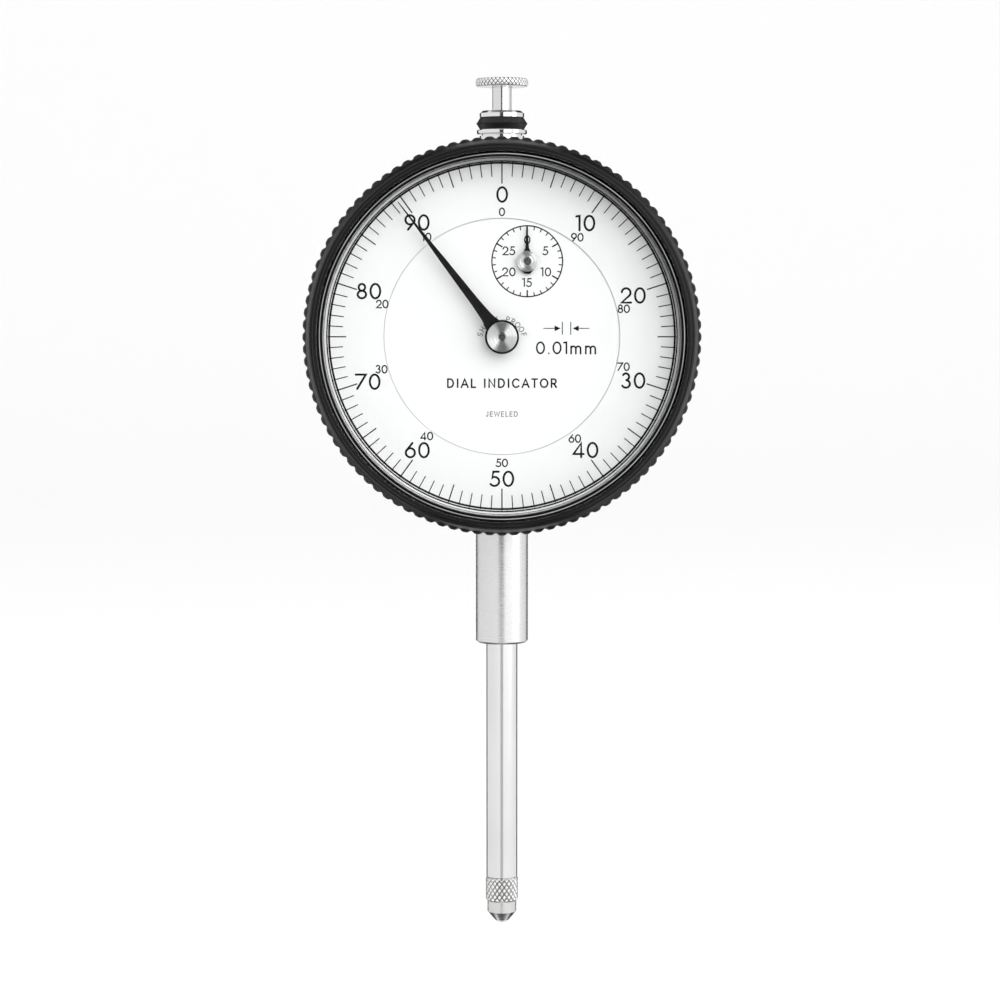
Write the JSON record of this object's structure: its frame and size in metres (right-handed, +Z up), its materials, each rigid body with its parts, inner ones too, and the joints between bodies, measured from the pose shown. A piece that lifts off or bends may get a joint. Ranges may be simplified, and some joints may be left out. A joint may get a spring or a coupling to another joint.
{
  "type": "dial indicator",
  "caption": "Dial indicator with a round graduated dial, turning serrated bezel, long-travel spindle with ball contact point, clamping stem and centre lug back.",
  "frame": {"origin": "on the stem's axis, in the middle of its clamping length", "axes": "+Z up the spindle axis towards the lifting knob, -Y out of the dial face, +X to the right of the dial"},
  "size_m": [0.059, 0.0384, 0.1296],
  "materials": {
    "case_satin": "satin plated die casting",
    "bezel_black": "satin black anodised",
    "stem_steel": "ground",
    "spindle_steel": "ground and polished",
    "contact_steel": "hardened, knurled grip",
    "ball_carbide": "polished",
    "bright_nickel": "bright plated",
    "lug_steel": "satin plated",
    "black_rubber": "matt",
    "screw_steel": "bright",
    "plate_nickel": "nickel plated",
    "movement_brass": "grained",
    "wheel_brass": "polished",
    "guide_bronze": "turned",
    "pinion_steel": "polished",
    "spring_steel": "bright wire",
    "ruby": "polished synthetic ruby",
    "washer_plastic": "slippery",
    "dial_white": "matt white",
    "pointer_black": "matt black",
    "crystal_clear": "clear, polished"
  },
  "bodies": {
    "case": {"case_body": "case_satin", "stem": "stem_steel", "stem_bush": "guide_bronze", "upper_bushing": "bright_nickel", "seal_ring": "black_rubber", "back_cover": "case_satin", "cover_gasket": "black_rubber", "cover_screws": "screw_steel", "mounting_lug": "lug_steel", "lug_screws": "screw_steel", "rear_plate": "movement_brass", "front_plate": "plate_nickel", "pinion_bridge": "movement_brass", "bridge_screw": "screw_steel", "plate_pillars": "movement_brass", "plate_screws": "screw_steel", "movement_screws": "screw_steel", "rear_jewels": "ruby", "front_jewels": "ruby", "hairspring_stud": "screw_steel", "hairspring": "spring_steel", "centre_dial": "dial_white", "snap_ring": "spring_steel", "bezel_washer": "washer_plastic", "guide_rail": "screw_steel", "spring_anchor": "screw_steel", "return_spring": "spring_steel"},
    "bezel_group": {"bezel": "bezel_black", "crystal": "crystal_clear", "crystal_gasket": "black_rubber", "dial_ring": "dial_white"},
    "spindle_group": {"spindle": "spindle_steel", "contact_point": "contact_steel", "contact_ball": "ball_carbide", "lifting_knob": "bright_nickel", "guide_arm": "movement_brass", "arm_screw": "screw_steel", "guide_pin": "pinion_steel"},
    "drive_group": {"drive_arbor": "pinion_steel", "drive_gear": "wheel_brass"},
    "pointer_group": {"centre_arbor": "pinion_steel", "pointer": "pointer_black", "pointer_cap": "bright_nickel"},
    "takeup_group": {"takeup_arbor": "pinion_steel", "takeup_gear": "wheel_brass", "hairspring_collet": "movement_brass"},
    "idler_group": {"idler_arbor": "pinion_steel", "idler_gear": "wheel_brass"},
    "counter_group": {"counter_arbor": "pinion_steel", "counter_gear": "wheel_brass", "counter_pointer": "pointer_black", "counter_cap": "bright_nickel"}
  },
  "joints": [
    {"name": "spindle_slide", "type": "slide", "parent": "case", "child": "spindle_group", "axis": [0, 0, 1], "range_m": [0, 0.0305], "stiffness_N_per_m": 20, "springref_m": -0.05, "deforming": ["return_spring"]},
    {"name": "bezel_turn", "type": "hinge", "parent": "case", "child": "bezel_group", "pos_m": [0, 0, 0.0376], "axis": [0, 1, 0], "continuous": true},
    {"name": "pointer_turn", "type": "hinge", "parent": "case", "child": "pointer_group", "pos_m": [0, 0, 0.0376], "axis": [0, 1, 0], "range_deg": [0, 10980.5]},
    {"name": "drive_turn", "type": "hinge", "parent": "case", "child": "drive_group", "pos_m": [-0.0037, 0, 0.02871], "axis": [0, 1, 0], "range_deg": [-1098.5, 0]},
    {"name": "takeup_turn", "type": "hinge", "parent": "case", "child": "takeup_group", "pos_m": [0.00904, 0, 0.03431], "axis": [0, 1, 0], "range_deg": [-1098.5, 0]},
    {"name": "idler_turn", "type": "hinge", "parent": "case", "child": "idler_group", "pos_m": [-0.00002, 0, 0.04372], "axis": [0, 1, 0], "range_deg": [-1830.5, 0]},
    {"name": "counter_turn", "type": "hinge", "parent": "case", "child": "counter_group", "pos_m": [0.00375, 0, 0.04877], "axis": [0, 1, 0], "range_deg": [0, 366.5]}
  ],
  "couplings": [
    {"joint": "pointer_turn", "follows": "spindle_slide", "rad_per_m": 6283.2},
    {"joint": "drive_turn", "follows": "spindle_slide", "rad_per_m": -628.32},
    {"joint": "takeup_turn", "follows": "spindle_slide", "rad_per_m": -628.32},
    {"joint": "idler_turn", "follows": "spindle_slide", "rad_per_m": -1047.2},
    {"joint": "counter_turn", "follows": "spindle_slide", "rad_per_m": 209.44}
  ]
}
